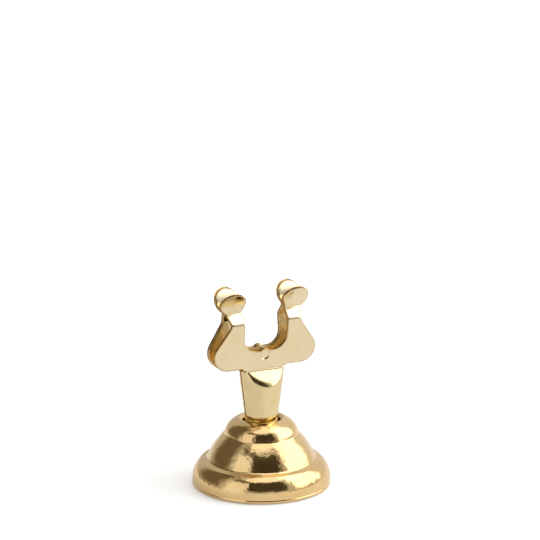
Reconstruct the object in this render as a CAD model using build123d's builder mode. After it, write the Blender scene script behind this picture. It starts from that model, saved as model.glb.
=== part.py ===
from build123d import *
import os
from math import atan2, ceil, cos, pi, radians, sin, tan

# Place card holder: a weighted bell base that carries a two-jawed spring clip.
# Millimetres, +Z up, front of the clip towards -Y, origin under the middle of the foot.

# Bell of the base, as radius and height of its outer skin
foot_d = 38.1
skirt_top_r = 16.55
skirt_top_z = 7.2
skirt_bulge = 0.95
ledge_w = 1.5
ledge_rise = 0.35
ledge_fillet_r = 1.0
skirt_edge_r = 0.3
shoulder_top_r = 10.25
shoulder_top_z = 14.8
shoulder_bulge = 0.45
crown_top_r = 6.2
crown_top_z = 19.1
crown_bulge = 1.0
hole_d = 10.2
shell_wall = 0.8
hem_r = 0.6
hem_proud = 0.2

# Inside the base
pad_proud = 0.2
pad_margin = 0.35
plate_t = 0.8
plate_clear = 0.1
weight_clear = 1.3
seat_depth = 5.9
washer_t = 0.8
washer_d = 12.8
washer_hole_d = 4.4
collar_clear = 0.3

# Jaws: sheet, stem and feet
sheet_t = 1.1
jaw_gap = 0.24
foot_flange_d = 13.2
foot_flare = 3.0
neck_d = 7.04
stem_low_d = 9.2
stem_rise = 0.55
stem_h = 13.45
stem_top_d = 12.6
shield_lean = 46.0
shield_crease_r = 1.2

# Jaws: the bent harp plate, seen from the side
pinch_gap = 0.3
pinch_h = 16.8
bend_in_r = 0.3
fold_gap = 1.5
fold_run = 0.9
root_proud = 0.02
facet_lean = 42.0
facet_rise = 3.0
tip_lean = 18.0
tip_run = 1.2
tip_curl_r = 13.0
tip_curl = 40.0

# Jaws: outline of the harp plate, seen from the front
root_w = 11.4
neck_w = 12.4
neck_corner_r = 0.9
neck_h = 0.95
lobe_x = 10.8
lobe_r = 4.3
flank_lean = 34.6
waist_r = 1.6
facet_flare = 20.0
gap_w = 12.84
bridge_h = 4.85
gap_corner_r = 4.1
ear_x = 9.33
ear_rise = 2.9
ear_w = 7.4
ear_h = 6.7
pip_r = 1.4
pip_drop = 0.7
dimple_d = 2.5
dimple_depth = 0.4

# Spring round the neck of the clip
wire_d = 0.75
spring_clear = 0.25
spring_pitch = 1.2
spring_end_angle = -130.0
spring_top_clear = 0.13
spring_low_clear = 0.48

# Places that follow from the sizes above
foot_r = foot_d / 2
hole_r = hole_d / 2
ledge_r = skirt_top_r - ledge_w
ledge_z = skirt_top_z + ledge_rise
hem_z = pad_proud + hem_r
plate_z = hem_z + hem_r
weight_z = plate_z + plate_t
weight_top_z = crown_top_z - seat_depth
pivot_z = weight_top_z + washer_t
flange_r = foot_flange_d / 2
flange_rise = flange_r * tan(radians(foot_flare))
collar_z = pivot_z + flange_rise + sheet_t + collar_clear
neck_r = neck_d / 2
stem_low_r = stem_low_d / 2
stem_top_r = stem_top_d / 2
stem_low_z = crown_top_z + stem_rise
fold_z = stem_low_z + stem_h
pinch_z = fold_z + pinch_h
waist_z = pinch_z - facet_rise
ear_z = pinch_z + ear_rise
underside_z = fold_z + neck_h
gap_floor_z = underside_z + bridge_h
pip_z = gap_floor_z - pip_drop
flange_top_z = pivot_z + neck_r * tan(radians(foot_flare)) + sheet_t


# Base shell: one pressed skin, hemmed at the foot and turned down into a collar round the hole
lip_r = crown_top_r - hole_r
skin_foot = (foot_r - hem_proud, hem_z)
skirt_top = (skirt_top_r, skirt_top_z)
ledge = (ledge_r, ledge_z)
shoulder_top = (shoulder_top_r, shoulder_top_z)
crown_top = (crown_top_r, crown_top_z)
lip_low = (hole_r, crown_top_z - lip_r)
with BuildPart() as base_shell:
    with BuildSketch(Plane.XZ) as skin:
        with BuildLine():
            SagittaArc(skin_foot, skirt_top, -skirt_bulge)
            Line(skirt_top, ledge)
            SagittaArc(ledge, shoulder_top, -shoulder_bulge)
            SagittaArc(shoulder_top, crown_top, -crown_bulge)
            RadiusArc(crown_top, lip_low, lip_r)
            Line(lip_low, (hole_r, collar_z))
            offset(amount=shell_wall, side=Side.LEFT)
        make_face()
        fillet(skin.vertices().sort_by_distance(ledge)[0], radius=ledge_fillet_r)
        fillet(skin.vertices().sort_by_distance(skirt_top)[0], radius=skirt_edge_r)
        with Locations((foot_r - hem_r, hem_z)):
            Circle(hem_r)
    revolve(axis=Axis.Z)
base_shell.part.label = "base_shell"

# Base weight: a cast plug that follows the inside of the bell up to the seat of the clip
weight_step_z = skirt_top_z - shell_wall - weight_clear
weight_inset = shell_wall + weight_clear
with BuildPart() as base_weight:
    with BuildSketch(Plane.XZ):
        with BuildLine():
            Polyline(
                (0, weight_z),
                (skirt_top_r - weight_inset, weight_z),
                (skirt_top_r - weight_inset, weight_step_z),
                (ledge_r - weight_inset, weight_step_z),
                (shoulder_top_r - weight_inset, weight_top_z),
                (0, weight_top_z),
                close=True,
            )
        make_face()
    revolve(axis=Axis.Z)
base_weight.part.label = "base_weight"

# Base plate: the disc that the hem is curled under
plate_r = foot_r - hem_proud - shell_wall - plate_clear
with BuildPart() as base_plate:
    with BuildSketch(Plane.XY.offset(plate_z)):
        Circle(plate_r)
    extrude(amount=plate_t)
base_plate.part.label = "base_plate"

# Base pad: the soft disc that the holder stands on
with BuildPart() as base_pad:
    with BuildSketch(Plane.XY):
        Circle(foot_r - 2 * hem_r - pad_margin)
    extrude(amount=plate_z)
base_pad.part.label = "base_pad"

# Foot washer: the flat ring on which the feet of the jaws rock and turn
with BuildPart() as foot_washer:
    with BuildSketch(Plane.XY.offset(weight_top_z)):
        Circle(washer_d / 2)
        Circle(washer_hole_d / 2, mode=Mode.SUBTRACT)
    extrude(amount=washer_t)
foot_washer.part.label = "foot_washer"

# Side line of a jaw's inner face as (y, z): shield, fold, plate, knee, facet, pinch ridge, tip
bend_out_r = bend_in_r + sheet_t
facet_a = radians(facet_lean)
tip_a = radians(tip_lean)
shield_a = radians(shield_lean)
ridge_round = bend_out_r * ((cos(facet_a) + cos(tip_a)) / (1 + cos(facet_a + tip_a)) - 1)
ridge = Vector(ridge_round - pinch_gap / 2, pinch_z)
knee = ridge - Vector(tan(facet_a), 1) * facet_rise
fold = Vector(-fold_gap / 2, fold_z)
lean_a = atan2(fold.X - knee.X, knee.Y - fold.Y)
shield_up = Vector(sin(shield_a), cos(shield_a))
shield_out = Vector(-cos(shield_a), sin(shield_a))
plate_up = Vector(-sin(lean_a), cos(lean_a))
plate_out = Vector(-cos(lean_a), -sin(lean_a))
tip_up = Vector(-sin(tip_a), cos(tip_a))
tip_start = ridge + tip_up * tip_run


def ahead_of_shield(depth):
    """Corners, as (y, z), of the space ahead of the shield's plane moved out by depth."""
    middle = fold + shield_out * depth
    low = middle - shield_up * stem_low_z
    high = middle + shield_up * stem_low_z
    return [low, high, (low.X - stem_low_z, high.Y), (low.X - stem_low_z, low.Y)]


# Hollow of the stem: the space inside both halves of the sheet
hollow_r = neck_r - sheet_t
with BuildPart() as stem_hollow:
    with BuildSketch(Plane.XZ):
        with BuildLine():
            Polyline(
                (0, pivot_z - sheet_t),
                (hollow_r, pivot_z - sheet_t),
                (hollow_r, stem_low_z),
                (stem_low_r - sheet_t, stem_low_z + sheet_t),
                (stem_top_r - sheet_t, fold_z),
                (stem_top_r - sheet_t, fold_z + sheet_t),
                (0, fold_z + sheet_t),
                close=True,
            )
        make_face()
    revolve(axis=Axis.Z)
    with BuildSketch(Plane.YZ):
        Polygon(*ahead_of_shield(-root_proud), align=None)
    extrude(amount=foot_d, both=True, mode=Mode.SUBTRACT)

# Harp plate: the bent sheet of a jaw, trimmed to its outline
half_gap = gap_w / 2
lobe_z = underside_z + lobe_r
flank_a = radians(flank_lean)
flank_low = Vector(lobe_x + lobe_r * cos(flank_a), lobe_z + lobe_r * sin(flank_a))
waist = Vector(flank_low.X - (waist_z - flank_low.Y) * tan(flank_a), waist_z)
ear_root = Vector(waist.X + (ear_z - waist_z) * tan(radians(facet_flare)), ear_z)
root_z = fold_z - fold_run
with BuildPart() as harp_plate:
    with BuildSketch(Plane.YZ):
        with BuildLine():
            FilletPolyline(
                fold - shield_up * fold_run,
                fold,
                knee,
                ridge,
                tip_start,
                radius=[bend_out_r, bend_in_r, bend_out_r],
            )
            JernArc(tip_start, tip_up, tip_curl_r, tip_curl)
            offset(amount=sheet_t, side=Side.LEFT)
        make_face()
    extrude(amount=foot_d / 2, both=True)
    with BuildSketch(Plane.XZ):
        with BuildLine():
            FilletPolyline(
                (0, root_z),
                (root_w / 2, root_z),
                (neck_w / 2, underside_z),
                (lobe_x, underside_z),
                radius=[0, neck_corner_r],
            )
            CenterArc((lobe_x, lobe_z), lobe_r, -90, 90 + flank_lean)
            FilletPolyline(flank_low, waist, ear_root, radius=waist_r)
            Polyline(ear_root, (half_gap, ear_z), (half_gap, gap_floor_z + gap_corner_r))
            RadiusArc(
                (half_gap, gap_floor_z + gap_corner_r),
                (half_gap - gap_corner_r, gap_floor_z),
                gap_corner_r,
            )
            Polyline((half_gap - gap_corner_r, gap_floor_z), (0, gap_floor_z), (0, root_z))
        make_face()
        mirror(about=Plane.YZ)
        with Locations((ear_x, ear_z), (-ear_x, ear_z)):
            Ellipse(ear_w / 2, ear_h / 2)
        with Locations((0, pip_z)):
            Circle(pip_r)
    extrude(amount=foot_d, both=True, mode=Mode.INTERSECT)

# Front jaw: half of the stem with its shield and flared foot, and the harp plate above
dimple_r = (dimple_depth**2 + (dimple_d / 2) ** 2) / (2 * dimple_depth)
dimple_face = fold + plate_up * ((pip_z - fold_z) / cos(lean_a)) + plate_out * sheet_t
dimple_mid = dimple_face + plate_out * (dimple_r - dimple_depth)
with BuildPart() as front_jaw:
    with BuildSketch(Plane.XZ):
        with BuildLine():
            Polyline(
                (0, pivot_z),
                (flange_r, pivot_z + flange_rise),
                (flange_r, pivot_z + flange_rise + sheet_t),
                (neck_r, flange_top_z),
                (neck_r, stem_low_z),
                (stem_low_r, stem_low_z),
                (stem_top_r, fold_z),
                (0, fold_z),
                close=True,
            )
        make_face()
    revolve(axis=Axis.Z)
    with BuildSketch(Plane.YZ):
        Polygon(*ahead_of_shield(sheet_t - root_proud), align=None)
    extrude(amount=foot_d, both=True, mode=Mode.SUBTRACT)
    crease = front_jaw.edges().filter_by(GeomType.ELLIPSE)
    fillet(crease, radius=shield_crease_r)
    split(bisect_by=Plane.XZ.offset(jaw_gap / 2), keep=Keep.TOP)
    add(stem_hollow.part, mode=Mode.SUBTRACT)
    add(harp_plate.part)
    with Locations((0, dimple_mid.X, dimple_mid.Y)):
        Sphere(dimple_r, mode=Mode.SUBTRACT)
front_jaw.part.label = "front_jaw"

# Rear jaw: the same stamping turned half round
with BuildPart() as rear_jaw:
    add(front_jaw.part, rotation=(0, 0, 180))
rear_jaw.part.label = "rear_jaw"

# Clip spring: one wire wound round both necks, laid along a helix in quarter turns
spring_r = neck_r + spring_clear + wire_d / 2
spring_top_z = stem_low_z - spring_top_clear - wire_d / 2
spring_low_z = flange_top_z + spring_low_clear + wire_d / 2
spring_turns = (spring_top_z - spring_low_z) / spring_pitch
spring_quarters = ceil(spring_turns * 4)


def spring_point(turn):
    """Point of the wire's middle, turn whole turns before its upper end."""
    angle = radians(spring_end_angle) - 2 * pi * turn
    return Vector(spring_r * cos(angle), spring_r * sin(angle), spring_top_z - spring_pitch * turn)


def spring_heading(turn):
    """Direction of the wire there, upwards along the helix."""
    angle = radians(spring_end_angle) - 2 * pi * turn
    return Vector(-sin(angle), cos(angle), spring_pitch / (2 * pi * spring_r)).normalized()


def biarc_joint(start, start_heading, end, end_heading):
    """Point and heading where the two arcs of a biarc meet."""
    chord = end - start
    bend = start_heading + end_heading
    square = bend.dot(bend) - 4
    lean = chord.dot(bend)
    reach = (lean - (lean**2 - square * chord.dot(chord)) ** 0.5) / square
    joint = (start + end + (start_heading - end_heading) * reach) * 0.5
    heading = (end - end_heading * reach - start - start_heading * reach).normalized()
    return joint, heading


turns = [spring_turns * (1 - i / spring_quarters) for i in range(spring_quarters + 1)]
spring_tail = spring_point(spring_turns) - spring_heading(spring_turns) * wire_d
with BuildPart() as clip_spring:
    with BuildLine() as wire_line:
        Line(spring_tail, spring_point(spring_turns))
        for before, after in zip(turns, turns[1:]):
            low, high = spring_point(before), spring_point(after)
            low_heading, high_heading = spring_heading(before), spring_heading(after)
            joint, heading = biarc_joint(low, low_heading, high, high_heading)
            TangentArc(low, joint, tangent=low_heading)
            TangentArc(joint, high, tangent=heading)
        Line(spring_point(0), spring_point(0) + spring_heading(0) * wire_d)
    with BuildSketch(Plane(origin=spring_tail, z_dir=spring_heading(spring_turns))):
        Circle(wire_d / 2)
    sweep(path=wire_line.wires()[0])
clip_spring.part.label = "clip_spring"

# Least gap between neighbouring turns of the wire
samples = [i / 72 for i in range(int(spring_turns * 72) + 1)]
least_gap = min(
    (spring_point(a) - spring_point(b)).length - wire_d
    for a in samples
    for b in samples
    if b - a > 0.5
)
print(f"clip_spring least gap to itself {least_gap:.3f} mm")

os.makedirs("parts", exist_ok=True)
export_step(base_shell.part, "parts/base_shell.step")
export_step(base_weight.part, "parts/base_weight.step")
export_step(base_plate.part, "parts/base_plate.step")
export_step(base_pad.part, "parts/base_pad.step")
export_step(foot_washer.part, "parts/foot_washer.step")
export_step(front_jaw.part, "parts/front_jaw.step")
export_step(rear_jaw.part, "parts/rear_jaw.step")
export_step(clip_spring.part, "parts/clip_spring.step")
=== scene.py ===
"""Looks of a polished gold place card holder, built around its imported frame.

A pressed bell base, two stamped harp jaws, the wire coil round their necks and the felt under
the foot are modelled here, close to the solids. The parts that stay hidden keep the solids' shapes.
"""

import logging
import math
from dataclasses import dataclass, field, replace
from enum import Enum

import bmesh
import bpy
import numpy as np
from mathutils import Matrix, Vector, noise
from mathutils.geometry import delaunay_2d_cdt

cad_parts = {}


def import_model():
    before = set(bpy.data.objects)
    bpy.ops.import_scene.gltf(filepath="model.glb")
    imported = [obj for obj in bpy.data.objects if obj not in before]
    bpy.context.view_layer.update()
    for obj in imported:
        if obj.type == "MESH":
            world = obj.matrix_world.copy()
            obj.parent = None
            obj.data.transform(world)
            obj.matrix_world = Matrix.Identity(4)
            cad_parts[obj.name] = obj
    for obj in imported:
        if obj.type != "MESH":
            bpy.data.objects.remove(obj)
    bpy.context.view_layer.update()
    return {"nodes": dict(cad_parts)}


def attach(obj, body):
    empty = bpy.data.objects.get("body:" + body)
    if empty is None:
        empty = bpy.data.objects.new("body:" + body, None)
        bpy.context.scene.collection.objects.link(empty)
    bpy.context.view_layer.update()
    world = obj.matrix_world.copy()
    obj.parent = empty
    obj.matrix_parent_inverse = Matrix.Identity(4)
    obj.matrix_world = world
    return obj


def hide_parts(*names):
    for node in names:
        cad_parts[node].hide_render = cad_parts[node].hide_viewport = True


MM = 0.001
IMAGE_PX = 540
SENSOR_MM = 36.0
TURN = 2 * math.pi
ROUND_STEPS = 15
MERGE_WITHIN = 1e-8
FILL_WITHIN = 1e-7
FILL_INSIDE = 1
LEAST_RISE = 1e-6

log = logging.getLogger("card_holder")


class Slot(Enum):
    """Names of material slots for the pieces made here; this script gives them to none."""

    GOLD = "gold_plate"
    WIRE = "gold_wire"
    FELT = "felt"


class Side(Enum):
    """The two jaws of the clip, with the sign that places each about the clip's middle plane."""

    FRONT = 1.0
    REAR = -1.0


class Mark(Enum):
    """Skins of a jaw, with the place of each one's finish among the jaw's materials."""

    PLATE = 0
    EDGE = 1
    STEM = 2


class Value:
    """One output socket of a shader graph that can be used in Python expressions."""

    def __init__(self, graph: "Graph", socket: bpy.types.NodeSocket) -> None:
        """Keep the graph and the socket."""
        self.graph = graph
        self.socket = socket

    def math(self, operation: str, *others: "Value | float") -> "Value":
        """Add a Math node that works on this value and any further operands."""
        return self.graph.add("ShaderNodeMath", {"operation": operation}, dict(enumerate((self, *others))))

    def __add__(self, other: "Value | float") -> "Value":
        """This value plus another."""
        return self.math("ADD", other)

    __radd__ = __add__

    def __mul__(self, other: "Value | float") -> "Value":
        """This value times another."""
        return self.math("MULTIPLY", other)

    __rmul__ = __mul__

    def __sub__(self, other: "Value | float") -> "Value":
        """This value less another."""
        return self.math("SUBTRACT", other)

    def __rsub__(self, other: float) -> "Value":
        """A number less this value."""
        return self * -1.0 + other

    def step(self, low: float, high: float) -> "Value":
        """Smooth rise of this value, from 0 at low to 1 at high."""
        settings = {"interpolation_type": "SMOOTHSTEP"}
        return self.graph.add("ShaderNodeMapRange", settings, {0: self, 1: low, 2: high, 3: 0.0, 4: 1.0})


class Graph:
    """Builder of one material's or world's shader nodes."""

    def __init__(self, tree: bpy.types.NodeTree) -> None:
        """Start with an empty tree."""
        self.tree = tree
        tree.nodes.clear()

    def add(self, kind: str, settings: dict | None = None, inputs: dict | None = None,
            out: int | str = 0) -> Value:
        """Add any node.

        Args:
            kind: The node's type.
            settings: Properties of the node, set before its sockets.
            inputs: Values or links of its sockets, by name or index.
            out: Name or index of the output to return.

        Returns:
            The chosen output, or the first input of a node that has no output.
        """
        node = self.tree.nodes.new(kind)
        for name, setting in (settings or {}).items():
            setattr(node, name, setting)
        for key, content in (inputs or {}).items():
            if isinstance(content, Value):
                self.tree.links.new(content.socket, node.inputs[key])
            else:
                node.inputs[key].default_value = content
        return Value(self, node.outputs[out]) if node.outputs else Value(self, node.inputs[0])

    def blend(self, factor: Value, low: tuple, high: tuple) -> Value:
        """Mix two colours, with the factor as the share of the second."""
        inputs = {0: factor, 6: rgba(low), 7: rgba(high)}
        return self.add("ShaderNodeMix", {"data_type": "RGBA"}, inputs, out=2)

    def grain(self, place: Value, size: float, detail: float = 2.0, roughness: float = 0.5) -> Value:
        """Noise of 0.5 on average, with features of a size in metres."""
        inputs = {"Vector": place, "Scale": 1.0 / size, "Detail": detail, "Roughness": roughness}
        return self.add("ShaderNodeTexNoise", None, inputs)

    def along(self, way: Value, direction: Vector) -> Value:
        """How far coordinates reach in a direction of length 1."""
        inputs = {0: way, 1: direction}
        return self.add("ShaderNodeVectorMath", {"operation": "DOT_PRODUCT"}, inputs, out="Value")

    def place(self) -> Value:
        """Coordinates on the object, in metres."""
        return self.add("ShaderNodeTexCoord", out="Object")


def rgba(colour: tuple) -> tuple[float, float, float, float]:
    """Give a colour its fourth number."""
    return (*colour[:3], 1.0)


@dataclass(frozen=True)
class Finish:
    """A surface: its colour, its gloss and the fine relief that the light catches.

    Attributes:
        name: Name of the material.
        light: Colour where the surface is cleanest.
        dark: Colour where it is toned.
        tone_size: Size of the toned clouds, in metres.
        metallic: How far the surface reflects as metal.
        smooth: Roughness where the surface is best polished.
        rough: Roughness where it is worst.
        relief_size: Size of the relief, in metres.
        relief: Depth of the relief, in metres.
        stretch: How far the relief is drawn out along X, Y and Z.
        sheen: Weight of the soft sheen of fibres.
        sheen_rough: Roughness of that sheen.
        wipe_share: Size of the polishing wipes, as a share of the clouds.
        tone_ends: Levels of the clouds between which the colour changes.
        gloss_ends: Levels of the wipes between which the gloss changes.
    """

    name: str
    light: tuple
    dark: tuple
    tone_size: float
    metallic: float
    smooth: float
    rough: float
    relief_size: float
    relief: float
    stretch: tuple = (1.0, 1.0, 1.0)
    sheen: float = 0.0
    sheen_rough: float = 0.4
    wipe_share: float = 0.4
    tone_ends: tuple = (0.35, 0.7)
    gloss_ends: tuple = (0.3, 0.75)

    def material(self) -> bpy.types.Material:
        """Build the material.

        Returns:
            A node material with clouded colour, uneven gloss and relief.
        """
        made = bpy.data.materials.new(self.name)
        made.use_nodes = True
        made.diffuse_color = rgba(self.light)
        graph = Graph(made.node_tree)
        place = graph.place()
        drawn = graph.add("ShaderNodeMapping", None, {"Vector": place, "Scale": self.stretch})
        clouds = graph.grain(place, self.tone_size, detail=3.0)
        wipes = graph.grain(drawn, self.tone_size * self.wipe_share, detail=5.0, roughness=0.6)
        relief = graph.grain(drawn, self.relief_size, roughness=0.45)
        bump = graph.add("ShaderNodeBump", None, {
            "Strength": 1.0, "Distance": self.relief, "Height": relief})
        colour = graph.blend(clouds.step(*self.tone_ends), self.light, self.dark)
        gloss = wipes.step(*self.gloss_ends) * (self.rough - self.smooth) + self.smooth
        surface = graph.add("ShaderNodeBsdfPrincipled", None, {
            "Base Color": colour, "Metallic": self.metallic, "Roughness": gloss,
            "Sheen Weight": self.sheen, "Sheen Roughness": self.sheen_rough, "Normal": bump})
        graph.add("ShaderNodeOutputMaterial", None, {"Surface": surface})
        return made


BELL_GOLD = Finish(
    "bell_gold", light=(0.86, 0.62, 0.31), dark=(0.81, 0.56, 0.25), tone_size=9.0 * MM, metallic=1.0,
    smooth=0.09, rough=0.16, relief_size=1.3 * MM, relief=0.075 * MM)
JAW_GOLD = Finish(
    "jaw_gold", light=(0.82, 0.69, 0.45), dark=(0.79, 0.65, 0.40), tone_size=7.0 * MM, metallic=1.0,
    smooth=0.10, rough=0.18, relief_size=1.6 * MM, relief=0.006 * MM)
STEM_GOLD = replace(JAW_GOLD, name="stem_gold", light=(0.82, 0.66, 0.37), dark=(0.78, 0.61, 0.32),
                    tone_size=5.0 * MM)
EDGE_GOLD = Finish(
    "sheared_edge_gold", light=(0.66, 0.45, 0.18), dark=(0.48, 0.30, 0.09), tone_size=1.5 * MM,
    metallic=1.0, smooth=0.22, rough=0.36, relief_size=0.35 * MM, relief=0.010 * MM,
    stretch=(1.0, 0.12, 1.0))
WIRE_GOLD = Finish(
    "wire_gold", light=(1.0, 0.71, 0.17), dark=(0.97, 0.63, 0.12), tone_size=1.2 * MM, metallic=0.5,
    smooth=0.26, rough=0.38, relief_size=0.5 * MM, relief=0.006 * MM)
MILL_STEEL = Finish(
    "mill_steel", light=(0.62, 0.62, 0.61), dark=(0.45, 0.44, 0.43), tone_size=6.0 * MM, metallic=1.0,
    smooth=0.28, rough=0.45, relief_size=0.6 * MM, relief=0.010 * MM, stretch=(1.0, 0.1, 1.0))
CAST_IRON = Finish(
    "cast_iron", light=(0.16, 0.16, 0.165), dark=(0.09, 0.085, 0.08), tone_size=3.0 * MM, metallic=1.0,
    smooth=0.5, rough=0.75, relief_size=0.7 * MM, relief=0.080 * MM)
DARK_FELT = Finish(
    "dark_felt", light=(0.035, 0.035, 0.038), dark=(0.018, 0.018, 0.02), tone_size=1.2 * MM, metallic=0.0,
    smooth=0.9, rough=1.0, relief_size=0.18 * MM, relief=0.120 * MM, stretch=(1.0, 0.4, 1.0), sheen=0.35)


@dataclass
class Sheet:
    """Points and faces of a mesh in the making, in millimetres.

    Attributes:
        points: Points so far.
        faces: Faces so far, as indices of points.
        marks: Material index of each face.
    """

    points: list = field(default_factory=list)
    faces: list = field(default_factory=list)
    marks: list = field(default_factory=list)

    def row(self, points: list) -> list[int]:
        """Add a row of points.

        Args:
            points: The points, each with three numbers.

        Returns:
            Their indices.
        """
        start = len(self.points)
        self.points.extend(tuple(map(float, p)) for p in points)
        return list(range(start, len(self.points)))

    def strip(self, low: list[int], high: list[int], closed: bool, mark: int = 0) -> None:
        """Join two rows of equal length with quads.

        Args:
            low: Indices of the first row.
            high: Indices of the second row.
            closed: Whether the last point joins the first.
            mark: Material index of the quads.
        """
        count = len(low)
        for i in range(count if closed else count - 1):
            j = (i + 1) % count
            self.face([low[i], low[j], high[j], high[i]], mark)

    def face(self, corners: list[int], mark: int = 0) -> None:
        """Add one face."""
        self.faces.append(corners)
        self.marks.append(mark)

    def piece(self, name: str, finishes: list[bpy.types.Material],
              sharp_deg: float = 40.0) -> bpy.types.Object:
        """Turn the sheet into an object in metres.

        Args:
            name: Name of the object.
            finishes: Its materials, in the order of the marks.
            sharp_deg: Angle above which an edge is drawn sharp.

        Returns:
            The object, linked to the scene.
        """
        mesh = bpy.data.meshes.new(name)
        mesh.from_pydata([Vector(p) * MM for p in self.points], [], self.faces)
        for finish in finishes:
            mesh.materials.append(finish)
        mesh.polygons.foreach_set("material_index", self.marks)
        shape = bmesh.new()
        shape.from_mesh(mesh)
        bmesh.ops.remove_doubles(shape, verts=shape.verts, dist=MERGE_WITHIN)
        bmesh.ops.recalc_face_normals(shape, faces=shape.faces)
        shape.to_mesh(mesh)
        shape.free()
        mesh.shade_smooth()
        mesh.set_sharp_from_angle(angle=math.radians(sharp_deg))
        made = bpy.data.objects.new(name, mesh)
        bpy.context.scene.collection.objects.link(made)
        return made


def sweep(centre: np.ndarray, radius: float | np.ndarray, first: float, last: float,
          count: int) -> list[np.ndarray]:
    """Points of a circle, or with two radii of an ellipse, from the first angle to the last."""
    return [centre + radius * np.array([math.cos(t), math.sin(t)]) for t in np.linspace(first, last, count)]


def arc(start: tuple, end: tuple, bulge: float, steps: int) -> list[np.ndarray]:
    """Points of an arc between two points in a plane.

    Args:
        start: First point.
        end: Last point.
        bulge: Height of the arc to the right of the way from start to end.
        steps: Number of equal steps.

    Returns:
        The points after start, up to end.
    """
    a, b = np.array(start, float), np.array(end, float)
    chord = b - a
    half = np.hypot(*chord) / 2
    right = np.array([chord[1], -chord[0]]) / (2 * half)
    radius = (half**2 + bulge**2) / (2 * bulge)
    centre = (a + b) / 2 + right * (bulge - radius)
    first = math.atan2(*(a - centre)[::-1])
    turn = math.copysign(2 * math.asin(min(1.0, half / abs(radius))), bulge)
    return sweep(centre, abs(radius), first, first + turn, steps + 1)[1:]


def rounded(before: np.ndarray, corner: np.ndarray, after: np.ndarray,
            radius: float) -> list[np.ndarray]:
    """Round one corner of a line.

    Args:
        before: Point before the corner.
        corner: The corner.
        after: Point after the corner.
        radius: Radius of the round.

    Returns:
        Points of the round.
    """
    inward = (before - corner) / np.linalg.norm(before - corner)
    onward = (after - corner) / np.linalg.norm(after - corner)
    half = math.acos(np.clip(inward @ onward, -1.0, 1.0)) / 2
    reach = radius / math.tan(half)
    middle = (inward + onward) / np.linalg.norm(inward + onward)
    centre = corner + middle * radius / math.sin(half)
    first, last = corner + inward * reach - centre, corner + onward * reach - centre
    points = []
    for share in np.linspace(0.0, 1.0, ROUND_STEPS):
        mixed = first * (1 - share) + last * share
        points.append(centre + mixed / np.linalg.norm(mixed) * radius)
    return points


def beyond(line: list[np.ndarray], corner: np.ndarray, limit: np.ndarray) -> list[np.ndarray]:
    """Points of a line that lie further from a corner than a limit does."""
    reach = np.linalg.norm(limit - corner)
    return [p for p in line if np.linalg.norm(p - corner) > reach]


def spread(line: list, step: float) -> np.ndarray:
    """Points at even steps along an open line.

    Args:
        line: Corners of the line.
        step: Distance between the points, about.

    Returns:
        The points, with both ends.
    """
    corners = np.array(line, float)
    runs = np.concatenate([[0.0], np.cumsum(np.linalg.norm(np.diff(corners, axis=0), axis=1))])
    stops = np.linspace(0.0, runs[-1], max(2, round(runs[-1] / step) + 1))
    return np.stack([np.interp(stops, runs, corners[:, k]) for k in range(corners.shape[1])], axis=1)


def unit(ways: np.ndarray) -> np.ndarray:
    """Bring each row of an array to length 1."""
    return ways / np.linalg.norm(ways, axis=1)[:, None]


def left_of(ways: np.ndarray) -> np.ndarray:
    """Directions to the left of directions in a plane."""
    return np.stack([-ways[:, 1], ways[:, 0]], axis=1)


def soften(line: np.ndarray, passes: int, closed: bool = False) -> np.ndarray:
    """Round the corners of a line of evenly spaced points.

    Args:
        line: The points.
        passes: How often each point moves halfway to its neighbours' middle.
        closed: Whether the line is a loop.

    Returns:
        The softened points.
    """
    soft = line.copy()
    for _ in range(passes):
        middle = (np.roll(soft, 1, axis=0) + np.roll(soft, -1, axis=0)) / 2
        moved = (soft + middle) / 2
        if not closed:
            moved[0], moved[-1] = soft[0], soft[-1]
        soft = moved
    return soft


def revolve(profile: np.ndarray, steps: int) -> Sheet:
    """Turn a closed profile round the Z axis.

    Args:
        profile: Points as radius and height.
        steps: Number of facets of a full turn.

    Returns:
        The closed sheet.
    """
    sheet = Sheet()
    turns = [TURN * i / steps for i in range(steps)]
    rings = [sheet.row([(r * math.cos(t), r * math.sin(t), z) for r, z in profile]) for t in turns]
    for i in range(steps):
        sheet.strip(rings[i], rings[(i + 1) % steps], closed=True)
    return sheet


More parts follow.
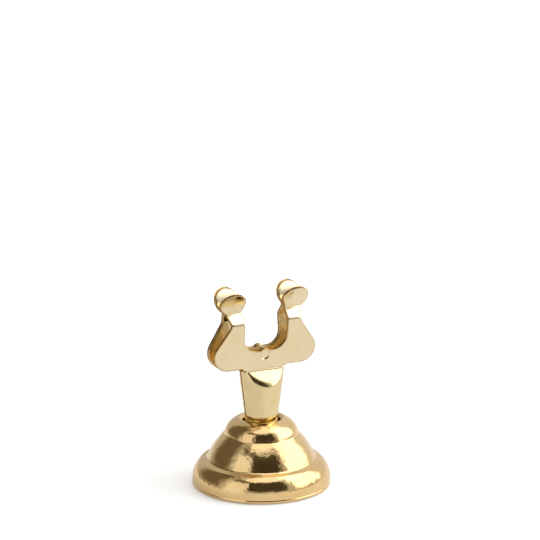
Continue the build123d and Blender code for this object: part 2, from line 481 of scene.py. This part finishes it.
@dataclass
class BellBase:
    """The pressed bell with its hem, ledge, shoulder, crown and turned-down collar, in millimetres.

    Attributes:
        foot_r: Outer radius of the hem.
        hem_r: Radius of the curled hem.
        hem_low: Height of the hem's underside.
        hem_proud: How far the hem stands proud of the skirt.
        skirt_top: Radius and height where the skirt ends.
        ledge: Radius and height where the shoulder starts.
        shoulder_top: Radius and height where the shoulder ends.
        crown_top: Radius and height of the crown.
        bulges: Rise of skirt, shoulder and crown over their chords.
        hole_r: Radius of the hole.
        collar_low: Height of the collar's lower edge.
        ledge_round: Radius of the hollow between ledge and shoulder.
        skirt_round: Radius of the edge between skirt and ledge.
        wall: Thickness of the skin.
        hem_arc: Directions where the curl of the hem starts and ends, in degrees.
        hem_steps: Points of that curl.
        hem_clear: Room between the hem and the first point of the skirt.
        arc_steps: Steps of skirt and shoulder, of the crown and of its lip.
        slope_at: Which points of skirt and shoulder give their slopes beside the ledge.
        step: Distance between points of the profile.
        thinning: Every how many points the unseen inner skin has one.
        turns: Facets of a full turn.
        sharp_deg: Angle above which an edge is drawn sharp.
    """

    foot_r: float = 19.05
    hem_r: float = 0.6
    hem_low: float = 0.2
    hem_proud: float = 0.2
    skirt_top: tuple = (16.55, 7.2)
    ledge: tuple = (15.05, 7.55)
    shoulder_top: tuple = (10.25, 14.8)
    crown_top: tuple = (6.2, 19.1)
    bulges: tuple = (0.95, 0.45, 0.84)
    hole_r: float = 5.1
    collar_low: float = 15.75
    ledge_round: float = 1.0
    skirt_round: float = 0.3
    wall: float = 0.8
    hem_arc: tuple = (165.0, 398.0)
    hem_steps: int = 32
    hem_clear: float = 0.04
    arc_steps: tuple = (60, 30, 14)
    slope_at: tuple = (-4, 5)
    step: float = 0.13
    thinning: int = 5
    turns: int = 224
    sharp_deg: float = 50.0

    def skin(self) -> np.ndarray:
        """Outer line of the skin, from the foot over the crown down to the collar's edge.

        Returns:
            Points as radius and height.
        """
        foot = (self.foot_r - self.hem_proud, self.hem_low + self.hem_r)
        skirt, shoulder, crown = self.bulges
        long_steps, crown_steps, lip_steps = self.arc_steps
        lip = self.crown_top[0] - self.hole_r
        corner = (self.hole_r, self.crown_top[1] - lip)
        edge, hollow = np.array(self.skirt_top), np.array(self.ledge)
        rise = [np.array(foot), *arc(foot, edge, skirt, long_steps)]
        slope = arc(hollow, self.shoulder_top, shoulder, long_steps)
        edge_round = rounded(rise[self.slope_at[0]], edge, hollow, self.skirt_round)
        hollow_round = rounded(edge, hollow, slope[self.slope_at[1]], self.ledge_round)
        line = beyond(rise, edge, edge_round[0]) + edge_round + hollow_round
        line += beyond(slope, hollow, hollow_round[-1])
        line += arc(self.shoulder_top, self.crown_top, crown, crown_steps)
        line += arc(self.crown_top, corner, lip * (1 - math.sqrt(0.5)), lip_steps)
        line.append(np.array((self.hole_r, self.collar_low)))
        return soften(spread(line, self.step), passes=2)

    def build(self) -> bpy.types.Object:
        """Make the bell.

        Returns:
            The object, which rides the base and stands for the shell.
        """
        outer = self.skin()
        inner = outer + left_of(unit(np.gradient(outer, axis=0))) * self.wall
        hem_mid = np.array([self.foot_r - self.hem_r, self.hem_low + self.hem_r])
        first, last = (math.radians(end) for end in self.hem_arc)
        hem = np.array(sweep(hem_mid, self.hem_r, first, last, self.hem_steps))
        start = outer[:, 1] > hem[-1, 1] + self.hem_clear
        profile = np.concatenate([outer[start], inner[start][::-self.thinning], hem])
        bell = revolve(profile, self.turns).piece("bell", [BELL_GOLD.material()], self.sharp_deg)
        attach(bell, "base")
        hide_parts("base_shell")
        return bell


@dataclass
class FeltFoot:
    """The felt disc under the foot, in millimetres.

    Attributes:
        radius: Radius of the disc.
        height: Thickness of the disc.
        edge: Radius of its softened edge.
        nap: Unevenness of its surface.
        nap_per_mm: Waves of that unevenness to a millimetre.
        nap_slice: Height in the noise at which the unevenness is taken.
        eye: Radius of the pin hole in its middle, where the rings end.
        margin: Room between the last flat ring and the edge.
        edge_points: Points of the softened edge.
        rings: Flat rings of the underside.
        turns: Facets of a full turn.
    """

    radius: float = 17.5
    height: float = 1.4
    edge: float = 0.35
    nap: float = 0.03
    nap_per_mm: float = 1.9
    nap_slice: float = 3.0
    eye: float = 0.05
    margin: float = 0.3
    edge_points: int = 6
    rings: int = 34
    turns: int = 128

    def build(self) -> bpy.types.Object:
        """Make the disc.

        Returns:
            The object, which rides the base and stands for the pad.
        """
        flat_r = self.radius - self.edge
        low = sweep(np.array([flat_r, self.edge]), self.edge, -math.pi / 2, 0.0, self.edge_points)
        radii = np.linspace(self.eye, flat_r - self.margin, self.rings)
        profile = [(r, 0.0) for r in radii] + low + [(self.radius, self.height)]
        profile += [(r, self.height) for r in (self.radius / 2, self.eye)]
        sheet = revolve(np.array(profile), self.turns)
        uneven = []
        for x, y, z in sheet.points:
            wave = noise.noise(Vector((x * self.nap_per_mm, y * self.nap_per_mm, self.nap_slice)))
            lift = self.nap * (wave + 1.0) / 2
            uneven.append((x, y, z + lift if z < self.edge else z))
        sheet.points = uneven
        disc = sheet.piece("felt_foot", [DARK_FELT.material()])
        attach(disc, "base")
        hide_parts("base_pad")
        return disc


@dataclass
class NeckCoil:
    """The wire coil round the necks of the jaws, in millimetres.

    Attributes:
        wire_r: Radius of the wire.
        coil_r: Radius of the coil at the middle of the wire.
        pitch: Rise of one turn.
        turns: Number of turns.
        top_z: Height of the upper end.
        end_deg: Direction of the upper end.
        facets: Facets round the wire.
        steps: Steps of one turn.
    """

    wire_r: float = 0.375
    coil_r: float = 4.145
    pitch: float = 0.8
    turns: float = 2.504
    top_z: float = 19.04
    end_deg: float = -130.0
    facets: int = 18
    steps: int = 72

    def route(self) -> tuple[np.ndarray, np.ndarray]:
        """Middle line of the wire with a straight run at both ends.

        Returns:
            The points and the headings there.
        """
        back = np.linspace(self.turns, 0.0, round(self.turns * self.steps) + 1)
        angle = math.radians(self.end_deg) - TURN * back
        points = np.stack([self.coil_r * np.cos(angle), self.coil_r * np.sin(angle),
                           self.top_z - self.pitch * back], axis=1)
        rise = np.full_like(angle, self.pitch / (TURN * self.coil_r))
        heads = unit(np.stack([-np.sin(angle), np.cos(angle), rise], axis=1))
        run = 2 * self.wire_r
        points = np.concatenate([[points[0] - heads[0] * run], points, [points[-1] + heads[-1] * run]])
        return points, np.concatenate([heads[:1], heads, heads[-1:]])

    def build(self) -> bpy.types.Object:
        """Make the coil.

        Returns:
            The object, which rides the clip's core and stands for the spring.
        """
        points, heads = self.route()
        sheet = Sheet()
        across = unit(np.cross(heads, (0.0, 0.0, 1.0)))
        up = np.cross(across, heads)
        turns = [TURN * i / self.facets for i in range(self.facets)]
        rings = []
        for p, a, u in zip(points, across, up):
            rings.append(sheet.row([p + self.wire_r * (math.cos(t) * a + math.sin(t) * u) for t in turns]))
        for low, high in zip(rings, rings[1:]):
            sheet.strip(low, high, closed=True)
        sheet.face(rings[0][::-1])
        sheet.face(rings[-1])
        coil = sheet.piece("neck_coil", [WIRE_GOLD.material()])
        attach(coil, "clip_core")
        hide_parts("clip_spring")
        return coil


@dataclass
class HarpJaw:
    """One stamped jaw: half a stem with its shield, and the bent harp plate above it, in millimetres.

    Attributes:
        side: Which of the two jaws this is.
        sheet: Thickness of the sheet.
        gap: Gap between the two halves of the stem.
        seam_bevel: How far each half's edge falls back at the outside.
        pivot_z: Height of the foot on which the jaw rocks.
        flange_r: Radius of the foot.
        flare_deg: Rise of the foot.
        foot_fillet: Width and height of the fillet between foot and neck.
        neck_r: Radius of the neck inside the coil.
        neck_chamfer: Width and height of the chamfer between neck and cone.
        stem_low: Radius and height where the cone starts.
        stem_edge: Points of the cone's rounded lower edge, from that place.
        stem_top_r: Radius of the cone at the fold.
        shield_deg: Lean of the shield to the back.
        shield_from: Height above the cone's start from which the shield can cut it.
        crease: Softness of the crease between shield and cone.
        crease_inside: The same on the inner face.
        crease_least: Least cosine of the turn from the front by which the crease widens.
        fold_z: Height of the fold on the inner face.
        fold_run: Length of sheet below the fold.
        fold_gap: Gap between the jaws at the fold.
        facet_deg: Lean of the prong facets to the back.
        facet_rise: Height of the facets.
        pinch: Gap between the jaws at the pinch ridge.
        pinch_z: Height of the pinch ridge.
        bend_r: Inner radius of the bends.
        tip_deg: Lean of the tips to the front, where they start.
        tip_run: Straight length of the tips.
        curl_r: Radius of the tips' curl.
        curl_deg: Turn of the tips' curl.
        root_w: Width of the plate's root.
        neck_w: Width of the plate's neck.
        neck_corner: Radius of the corner under the lobes.
        underside_z: Height of the lobes' underside.
        lobe: Place of a lobe's middle across the plate, and its radius.
        flank_deg: Lean of the flanks.
        waist_z: Height of the waist.
        waist_round: Radius of the waist's hollow.
        flare_out_deg: Lean of the edges above the waist.
        gap_w: Width of the gap between the prongs.
        gap_floor_z: Height of the gap's floor.
        gap_corner: Radius of the gap's corners.
        ear: Place of an ear's middle across and up.
        ear_half: Half width and half height of an ear.
        ear_search: First and last distance from the waist where an ear may start, and how many are tried.
        pip: Height of the pip's middle, and its radius.
        dimple: Width and depth of the dimple.
        dimple_drop: How far its middle lies below the pip's.
        dimple_lip: How far its slope runs past that width.
        dimple_slope: Its radius, counted in widths of its sloping ring.
        dimple_mesh: Distance between its rings of points, and between their points in radians.
        dimple_room: How far past its width these rings reach, and the other points stay away.
        roll: Radius of the rolled edges.
        roll_points: Points across a rolled edge.
        settle: Flat rim between the rolled edge and the inside of a face.
        tuck: How far the root's faces are set into the stem's sheet, so that none coincide.
        tuck_run: Height below the fold over which they go in.
        line_step: Distance between points of the side line.
        edge_step: Distance between points of the outline.
        arc_points: Points of the curl's and the ears' arcs, of the lobes' and of the pip's.
        rows: Distance between rows of points on a face, near the bends and elsewhere.
        columns: Distance between columns of points on a face.
        bend_reach: How far from a bend the rows are close.
        bend_lifts: How far the middle of each bend lies above its corner.
        rim_room: Least distance of these points from the rim of the face.
        stem_steps: Distance between rows of the foot and neck, of the cone and of the inside.
        stem_points: Points of a row of the stem.
        sharp_deg: Angle above which an edge is drawn sharp.
    """

    side: Side
    sheet: float = 1.1
    gap: float = 0.24
    seam_bevel: float = 0.25
    pivot_z: float = 14.0
    flange_r: float = 6.6
    flare_deg: float = 3.0
    foot_fillet: tuple = (0.2, 0.5)
    neck_r: float = 3.52
    neck_chamfer: tuple = (0.05, 0.02)
    stem_low: tuple = (4.6, 19.65)
    stem_edge: tuple = ((-0.16, 0.0), (-0.04, 0.05), (0.01, 0.16))
    stem_top_r: float = 6.3
    shield_deg: float = 46.0
    shield_from: float = 2.0
    crease: float = 0.8
    crease_inside: float = 0.05
    crease_least: float = 0.3
    fold_z: float = 33.1
    fold_run: float = 0.9
    fold_gap: float = 1.5
    facet_deg: float = 42.0
    facet_rise: float = 3.0
    pinch: float = 0.3
    pinch_z: float = 49.9
    bend_r: float = 0.3
    tip_deg: float = 18.0
    tip_run: float = 1.2
    curl_r: float = 13.0
    curl_deg: float = 40.0
    root_w: float = 11.4
    neck_w: float = 12.4
    neck_corner: float = 0.9
    underside_z: float = 34.05
    lobe: tuple = (10.8, 4.3)
    flank_deg: float = 34.6
    waist_z: float = 46.9
    waist_round: float = 1.6
    flare_out_deg: float = 20.0
    gap_w: float = 12.84
    gap_floor_z: float = 38.9
    gap_corner: float = 4.1
    ear: tuple = (9.33, 52.8)
    ear_half: tuple = (3.7, 3.35)
    ear_search: tuple = (0.5, 6.0, 400)
    pip: tuple = (38.2, 1.4)
    dimple: tuple = (3.2, 0.30)
    dimple_drop: float = 0.35
    dimple_lip: float = 0.15
    dimple_slope: float = 3.0
    dimple_mesh: tuple = (0.12, 0.35)
    dimple_room: tuple = (0.3, 0.35)
    roll: float = 0.16
    roll_points: int = 5
    settle: float = 0.07
    tuck: float = 0.05
    tuck_run: float = 0.5
    line_step: float = 0.02
    edge_step: float = 0.16
    arc_points: tuple = (60, 40, 10)
    rows: tuple = (0.11, 0.34)
    columns: float = 0.36
    bend_reach: float = 0.9
    bend_lifts: tuple = (0.1, 0.2, 0.0)
    rim_room: float = 0.09
    stem_steps: tuple = (0.25, 0.14, 0.3)
    stem_points: int = 121
    sharp_deg: float = 42.0

    def side_line(self, out: float) -> np.ndarray:
        """Side line of the bent sheet.

        Args:
            out: Distance from the inner face, towards the outside.

        Returns:
            Points as y and z, rising.
        """
        facet, tip, shield = (math.radians(a) for a in (self.facet_deg, self.tip_deg, self.shield_deg))
        wide = self.bend_r + self.sheet
        rounding = wide * ((math.cos(facet) + math.cos(tip)) / (1 + math.cos(facet + tip)) - 1)
        ridge = np.array([rounding - self.pinch / 2, self.pinch_z])
        knee = ridge - self.facet_rise * np.array([math.tan(facet), 1.0])
        fold = np.array([-self.fold_gap / 2, self.fold_z])
        root = fold - self.fold_run * np.array([math.sin(shield), math.cos(shield)])
        tip_way = np.array([-math.sin(tip), math.cos(tip)])
        line = [root, *rounded(root, fold, knee, wide), *rounded(fold, knee, ridge, self.bend_r),
                *rounded(knee, ridge, ridge + tip_way * self.tip_run, wide)]
        start = ridge + tip_way * self.tip_run
        centre = start + self.curl_r * np.array([-math.cos(tip), -math.sin(tip)])
        line += sweep(centre, self.curl_r, tip, tip + math.radians(self.curl_deg), self.arc_points[0])
        dense = spread(line, self.line_step)
        moved = dense + out * left_of(unit(np.gradient(dense, axis=0)))
        rising = np.concatenate([[True], np.diff(np.maximum.accumulate(moved[:, 1])) > LEAST_RISE])
        return moved[rising]

    def outline(self) -> np.ndarray:
        """Front outline of the harp plate.

        Returns:
            A closed, evenly spaced loop of x and z, against the clock from the root.
        """
        lobe_x, lobe_r = self.lobe
        ear_points, lobe_points, pip_points = self.arc_points
        flank = math.radians(self.flank_deg)
        half_gap = self.gap_w / 2
        root_z = self.fold_z - self.fold_run
        neck = np.array([self.neck_w / 2, self.underside_z])
        root = np.array([self.root_w / 2, root_z])
        line = [np.array([0.0, root_z]), root]
        line += rounded(root, neck, np.array([lobe_x, self.underside_z]), self.neck_corner)
        lobe = np.array([lobe_x, self.underside_z + lobe_r])
        line += sweep(lobe, lobe_r, -math.pi / 2, flank, lobe_points)
        low = line[-1]
        waist = np.array([low[0] - (self.waist_z - low[1]) * math.tan(flank), self.waist_z])
        flare = math.radians(self.flare_out_deg)
        out = np.array([math.sin(flare), math.cos(flare)])
        line += rounded(low, waist, waist + out * self.facet_rise, self.waist_round)
        centre, half = np.array(self.ear), np.array(self.ear_half)
        reach = np.linspace(*self.ear_search)
        inside = [np.sum(((waist + out * s - centre) / half) ** 2) < 1.0 for s in reach]
        entry = (waist + out * reach[inside.index(True)] - centre) / half
        first = math.atan2(entry[1], entry[0])
        last = TURN - math.acos((half_gap - centre[0]) / half[0])
        line += sweep(centre, half, first, last, ear_points)
        floor = np.array([half_gap, self.gap_floor_z])
        line += rounded(line[-1], floor, np.array([0.0, self.gap_floor_z]), self.gap_corner)
        pip_z, pip_r = self.pip
        edge = math.asin((self.gap_floor_z - pip_z) / pip_r)
        line += sweep(np.array([0.0, pip_z]), pip_r, edge, math.pi / 2, pip_points)
        right = spread(line, self.edge_step)
        left = (right * np.array([-1.0, 1.0]))[::-1]
        return soften(np.concatenate([right, left[1:-1]]), passes=4, closed=True)

    def lifted(self, points: np.ndarray, face: np.ndarray, sign: float, drop: float = 0.0) -> list:
        """Lift front-view points on to one face of the bent sheet.

        Args:
            points: The points as x and z.
            face: Side line of the face.
            sign: 1 for the outer face, -1 for the inner one.
            drop: How far below the face they come to lie.

        Returns:
            The points with x, y and z.
        """
        below = np.clip((self.fold_z - points[:, 1]) / self.tuck_run, 0.0, 1.0)
        depth = np.interp(points[:, 1], face[:, 1], face[:, 0]) + sign * drop + sign * (self.tuck * below)
        return [(x, y, z) for (x, z), y in zip(points, depth)]

    def plate(self, sheet: Sheet) -> None:
        """Add the harp plate, with rolled edges, to a sheet.

        Args:
            sheet: Sheet that takes the points and faces.
        """
        front, back = self.side_line(self.sheet), self.side_line(0.0)
        loop = self.outline()
        inward = left_of(unit(np.roll(loop, -1, axis=0) - np.roll(loop, 1, axis=0)))
        steps = np.linspace(0.0, math.pi / 2, self.roll_points)
        insets = [self.roll * (1 - math.sin(t)) for t in steps[::-1]]
        drops = [self.roll * (1 - math.cos(t)) for t in steps[::-1]]
        inner = loop + inward * (self.roll + self.settle)
        rims = []
        for face, sign in ((front, 1.0), (back, -1.0)):
            rows = [sheet.row(self.lifted(loop + inward * i, face, sign, d)) for i, d in zip(insets, drops)]
            rows.insert(0, sheet.row(self.lifted(inner, face, sign)))
            for a, b in zip(rows, rows[1:]):
                mark = Mark.PLATE if a is rows[0] else Mark.EDGE
                sheet.strip(a, b, closed=True, mark=mark.value)
            rims.append(rows[-1])
            self.fill(sheet, inner, rows[0], face, sign)
        sheet.strip(*rims, closed=True, mark=Mark.EDGE.value)

    def scatter(self, ring: np.ndarray, dimpled: bool) -> list[np.ndarray]:
        """Points that carry one face of the plate, close to each other where it bends.

        Args:
            ring: The ring round the face, in front view.
            dimpled: Whether the face has the dimple.

        Returns:
            The points inside the ring, in front view.
        """
        low, high = ring.min(axis=0), ring.max(axis=0)
        corners = (self.fold_z, self.pinch_z - self.facet_rise, self.pinch_z)
        bends = [z + lift for z, lift in zip(corners, self.bend_lifts)]
        heights = [low[1]]
        while heights[-1] < high[1]:
            near = min(abs(heights[-1] - z) for z in bends)
            heights.append(heights[-1] + self.rows[0 if near < self.bend_reach else 1])
        columns = np.arange(-round(high[0] / self.columns) * self.columns, high[0], self.columns)
        points = [np.array([x, z]) for z in heights for x in columns]
        if dimpled:
            middle_z, half = self.pip[0] - self.dimple_drop, self.dimple[0] / 2
            reach, clear = (half + room for room in self.dimple_room)
            step, turn = self.dimple_mesh
            points = [p for p in points if np.hypot(p[0], p[1] - middle_z) > clear]
            points += [np.array([r * math.cos(t), middle_z + r * math.sin(t)])
                       for r in np.arange(step, reach, step) for t in np.arange(0.0, TURN, turn)]
        return [p for p in points if self.inside(p, ring, self.rim_room)]

    def fill(self, sheet: Sheet, ring: np.ndarray, ring_at: list[int], face: np.ndarray,
             sign: float) -> None:
        """Fill one face of the plate inside its ring.

        Args:
            sheet: Sheet that takes the points and faces.
            ring: The ring in front view.
            ring_at: Indices of the ring's points in the sheet.
            face: Side line of the face.
            sign: 1 for the outer face, -1 for the inner one.
        """
        outer = sign > 0
        count = len(ring)
        edges = [(i, (i + 1) % count) for i in range(count)]
        flat = [Vector(p) for p in ring] + [Vector(p) for p in self.scatter(ring, outer)]
        corners, _, faces, origins, *_ = delaunay_2d_cdt(flat, edges, [], FILL_INSIDE, FILL_WITHIN)
        points = self.lifted(np.array([tuple(p) for p in corners]), face, sign)
        if outer:
            points = [self.pressed(p) for p in points]
        where = {}
        fresh = []
        for new, old in enumerate(origins):
            if old and old[0] < count:
                where[new] = ring_at[old[0]]
            else:
                fresh.append(new)
        where.update(zip(fresh, sheet.row([points[i] for i in fresh])))
        for face_corners in faces:
            sheet.face([where[i] for i in face_corners])

    def pressed(self, point: tuple) -> tuple:
        """Press a point of the outer face into the dimple, a flat pan with a sloping ring.

        Args:
            point: The point.

        Returns:
            The point, moved to the back where the dimple is.
        """
        x, y, z = point
        width, depth = self.dimple
        middle_z = self.pip[0] - self.dimple_drop
        reach = math.hypot(x, z - middle_z) / (width / 2 + self.dimple_lip)
        share = min(1.0, max(0.0, reach * self.dimple_slope - (self.dimple_slope - 1.0)))
        return (x, y + depth * (1 - share * share * (3 - 2 * share)), z)

    @staticmethod
    def inside(point: np.ndarray, ring: np.ndarray, margin: float) -> bool:
        """Tell whether a point is well inside a ring.

        Args:
            point: The point.
            ring: The closed ring.
            margin: Least distance from the ring's points.

        Returns:
            True where it is inside.
        """
        if np.min(np.hypot(*(ring - point).T)) < margin:
            return False
        a, b = ring, np.roll(ring, -1, axis=0)
        crosses = (a[:, 1] > point[1]) != (b[:, 1] > point[1])
        low, run = a[crosses], (b - a)[crosses]
        at = low[:, 0] + (point[1] - low[:, 1]) * run[:, 0] / run[:, 1]
        return bool(np.sum(at > point[0]) % 2)

    def stem(self, sheet: Sheet) -> None:
        """Add half of the stem, with shield, neck and foot, to a sheet.

        Args:
            sheet: Sheet that takes the points and faces.
        """
        t = self.sheet
        flare = math.tan(math.radians(self.flare_deg))
        low_r, low_z = self.stem_low
        foot_z = self.pivot_z + self.flange_r * flare
        fillet_w, fillet_h = self.foot_fillet
        chamfer_w, chamfer_h = self.neck_chamfer
        *edge, cone_start = [(low_r + x, low_z + z) for x, z in self.stem_edge]
        outer = [(self.flange_r, foot_z), (self.flange_r, foot_z + t),
                 (self.neck_r + fillet_w, self.pivot_z + self.neck_r * flare + t),
                 (self.neck_r, self.pivot_z + t + fillet_h), (self.neck_r, low_z - chamfer_h),
                 (self.neck_r + chamfer_w, low_z), *edge]
        cone = [cone_start, (self.stem_top_r, self.fold_z)]
        inner = [(self.stem_top_r - t, self.fold_z), (low_r - t, low_z + t), (self.neck_r - t, low_z),
                 (self.neck_r - t, self.pivot_z + (self.neck_r - t) * flare)]
        skins = []
        for line, step, out in zip((outer, cone, inner), self.stem_steps, (t, t, 0.0)):
            skins += [(p, out) for p in spread(line, step)]
        back = self.side_line(0.0)
        shield = math.radians(self.shield_deg)
        fold_y = np.interp(self.fold_z, back[:, 1], back[:, 0])
        shares = np.linspace(-1.0, 1.0, self.stem_points)
        rows = []
        for (r, z), out in skins:
            plane = fold_y + (z - self.fold_z) * math.tan(shield) - out / math.cos(shield)
            seam = self.gap / 2 + (self.seam_bevel if out else 0.0)
            row = []
            for share in shares:
                turn = share * math.acos(seam / r)
                x, y = r * math.sin(turn), -r * math.cos(turn)
                if z > low_z + self.shield_from:
                    wide = self.crease / max(self.crease_least, math.cos(turn))
                    y = self.soft_max(y, plane, wide if out else self.crease_inside)
                row.append((x, min(y, -seam), z))
            rows.append(sheet.row(row))
        for a, b in zip(rows, rows[1:] + rows[:1]):
            sheet.strip(a, b, closed=False, mark=Mark.STEM.value)
        for end in (0, -1):
            sheet.face([row[end] for row in rows], Mark.EDGE.value)

    @staticmethod
    def soft_max(a: float, b: float, softness: float) -> float:
        """Larger of two numbers, with a round of a given half width where they meet."""
        share = min(1.0, max(0.0, 0.5 + (a - b) / (4 * softness)))
        return b + (a - b) * share + 2 * softness * share * (1 - share)

    def build(self, finishes: list[bpy.types.Material]) -> bpy.types.Object:
        """Make the jaw.

        Args:
            finishes: Materials of the plate, of the sheared edges and of the stem.

        Returns:
            The object, which rides its body and stands for its node.
        """
        sheet = Sheet()
        self.plate(sheet)
        self.stem(sheet)
        turn = self.side.value
        sheet.points = [(x * turn, y * turn, z) for x, y, z in sheet.points]
        name = self.side.name.lower()
        node = f"{name}_jaw"
        jaw = sheet.piece(f"{name}_harp", finishes, self.sharp_deg)
        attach(jaw, node)
        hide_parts(node)
        return jaw


@dataclass(frozen=True)
class Panel:
    """A soft-edged patch of the studio round the object, seen from it.

    Attributes:
        side: Directions to the right of the camera where it starts and ends, in degrees.
        rise: Elevations where it starts and ends, in degrees.
        level: Its brightness.
        soft: Width of its soft edges, in degrees.
    """

    side: tuple
    rise: tuple
    level: float
    soft: float


@dataclass
class Studio:
    """Floor, light and camera.

    Attributes:
        camera_at: Place of the camera, in millimetres.
        camera_way: Direction of its view.
        focal_px: Focal length, in pixels of the photograph's frame.
        nearest: Least distance that the camera shows, in metres.
        ambient: Brightness of the room.
        floor_r: Half width of the floor, in metres.
        glow: Light that the floor adds where it is seen.
        painted_glow_left: Painted light that the floor adds in reflections, left of the object.
        painted_glow_right: The same right of the object, stronger: a painted pool of light.
        painted_pool_from: Where that painted pool of light to the right starts and is full, in metres.
        dim_tint: Colour of the room where it is dark.
        tint_ends: Levels of the room between which that colour turns to white.
        floor_tones: Shades of the floor.
        floor_grain: Size of its grain, in metres.
        panels: Patches of the room that the gold shows.
    """

    camera_at: tuple = (-463.92, -1009.72, 380.28)
    camera_way: tuple = (0.40314, 0.87248, -0.27614)
    focal_px: float = 4256.0
    nearest: float = 0.05
    ambient: float = 0.55
    floor_r: float = 3.0
    glow: float = 0.36
    # Painted light: the floor's glow in reflections, weaker left and stronger right of the object, is a
    # painted pool of light.
    painted_glow_left: float = 0.07
    painted_glow_right: float = 0.19
    painted_pool_from: tuple = (-0.02, 0.05)
    dim_tint: tuple = (1.0, 0.8, 0.5)
    tint_ends: tuple = (0.0, 0.6)
    floor_tones: tuple = ((0.88, 0.88, 0.88), (0.9, 0.9, 0.9))
    floor_grain: float = 0.004
    panels: tuple = (
        Panel((110.0, 240.0), (-10.0, 60.0), 0.80, 16.0),
        Panel((-45.0, 200.0), (57.0, 120.0), 1.3, 10.0),
        Panel((60.0, 120.0), (9.0, 68.0), 2.4, 8.0),
        Panel((-132.0, -76.0), (4.0, 68.0), 0.16, 20.0),
        Panel((-66.0, -26.0), (-2.0, 47.0), 1.0, 6.0),
        Panel((-62.0, -20.0), (48.0, 57.0), 0.10, 5.0),
        Panel((-24.0, 46.0), (10.0, 53.0), 0.06, 5.0),
    )

    def bearings(self) -> tuple[Vector, Vector]:
        """Level directions of the camera, seen from the object, and of its right."""
        flat = Vector((-self.camera_way[0], -self.camera_way[1], 0.0)).normalized()
        return flat, Vector((-flat.y, flat.x, 0.0))

    def room(self) -> None:
        """Set the world: a pale room with panels, and plain white behind the object."""
        world = bpy.data.worlds.new("studio")
        bpy.context.scene.world = world
        world.use_nodes = True
        graph = Graph(world.node_tree)
        way = graph.add("ShaderNodeTexCoord", out="Generated")
        flat, right = self.bearings()
        height = graph.add("ShaderNodeSeparateXYZ", None, {0: way}, out="Z")
        turn = graph.along(way, right).math("ARCTAN2", graph.along(way, flat)) * math.degrees(1)
        rise = height.math("ARCSINE") * math.degrees(1)
        level = self.ambient
        for panel in self.panels:
            mask = self.band(turn, panel.side, panel.soft) * self.band(rise, panel.rise, panel.soft)
            level = level + mask * (panel.level - level)
        seen = graph.add("ShaderNodeLightPath", out="Is Camera Ray")
        strength = level + seen * (1.0 - level)
        tint = graph.blend(strength.step(*self.tint_ends), self.dim_tint, (1.0, 1.0, 1.0))
        light = graph.add("ShaderNodeBackground", None, {"Color": tint, "Strength": strength})
        graph.add("ShaderNodeOutputWorld", None, {"Surface": light})

    @staticmethod
    def band(value: Value, ends: tuple, soft: float) -> Value:
        """Mask that is 1 between two ends and 0 outside, with soft edges of a given width."""
        rises, falls = (value.step(end - soft / 2, end + soft / 2) for end in ends)
        return rises * (1.0 - falls)

    def floor(self) -> bpy.types.Object:
        """Lay the pale floor.

        Returns:
            The floor.
        """
        half = self.floor_r
        mesh = bpy.data.meshes.new("floor")
        corners = [(-half, -half, 0), (half, -half, 0), (half, half, 0), (-half, half, 0)]
        mesh.from_pydata(corners, [], [(0, 1, 2, 3)])
        pale = bpy.data.materials.new("pale_floor")
        pale.use_nodes = True
        graph = Graph(pale.node_tree)
        place = graph.place()
        tone = graph.blend(graph.grain(place, self.floor_grain), *self.floor_tones)
        matt = graph.add("ShaderNodeBsdfDiffuse", None, {"Color": tone})
        _, right = self.bearings()
        seen = graph.add("ShaderNodeLightPath", out="Is Camera Ray")
        mirrored = graph.add("ShaderNodeLightPath", out="Is Glossy Ray")
        # Painted pool of light: in reflections the floor glows more to the right of the object than to its
        # left.
        painted_pool_mask = graph.along(place, right).step(*self.painted_pool_from)
        painted_pool = painted_pool_mask * (self.painted_glow_right - self.painted_glow_left) + self.painted_glow_left
        shine = seen * self.glow + mirrored * painted_pool
        glow = graph.add("ShaderNodeEmission", None, {"Color": shine, "Strength": 1.0})
        lit = graph.add("ShaderNodeAddShader", None, {0: matt, 1: glow})
        graph.add("ShaderNodeOutputMaterial", None, {"Surface": lit})
        mesh.materials.append(pale)
        made = bpy.data.objects.new("floor", mesh)
        bpy.context.scene.collection.objects.link(made)
        return made

    def camera(self) -> bpy.types.Object:
        """Set up the camera.

        Returns:
            The camera.
        """
        lens = bpy.data.cameras.new("camera")
        lens.sensor_width = SENSOR_MM
        lens.lens = self.focal_px / IMAGE_PX * SENSOR_MM
        lens.clip_start = self.nearest
        made = bpy.data.objects.new("camera", lens)
        turn = Vector(self.camera_way).to_track_quat("-Z", "Y").to_matrix().to_4x4()
        made.matrix_world = Matrix.Translation(Vector(self.camera_at) * MM) @ turn
        bpy.context.scene.collection.objects.link(made)
        bpy.context.scene.camera = made
        return made

    def build(self) -> None:
        """Set world, floor, camera and view."""
        self.room()
        self.floor()
        self.camera()
        bpy.context.scene.view_settings.view_transform = "Standard"


def dress(node: bpy.types.Object, finish: Finish) -> None:
    """Give a hidden part its finish.

    Args:
        node: Object of the part.
        finish: Its surface.
    """
    made = finish.material()
    if not node.material_slots:
        node.data.materials.append(made)
    for slot in node.material_slots:
        slot.material = made


def main() -> None:
    """Build every piece of the holder, then the studio."""
    logging.basicConfig(level=logging.INFO, format="%(name)s: %(message)s")
    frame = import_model()
    nodes = frame["nodes"]
    golds = [finish.material() for finish in (JAW_GOLD, EDGE_GOLD, STEM_GOLD)]
    pieces = [BellBase().build(), FeltFoot().build(), NeckCoil().build(),
              HarpJaw(Side.FRONT).build(golds), HarpJaw(Side.REAR).build(golds)]
    for piece in pieces:
        log.info("%s has %d faces", piece.name, len(piece.data.polygons))
    hidden = {"base_plate": MILL_STEEL, "foot_washer": MILL_STEEL, "base_weight": CAST_IRON}
    for name, finish in hidden.items():
        dress(nodes[name], finish)
        log.info("%s is dressed in %s", name, finish.name)
    Studio().build()


if __name__ == "__main__":
    main()
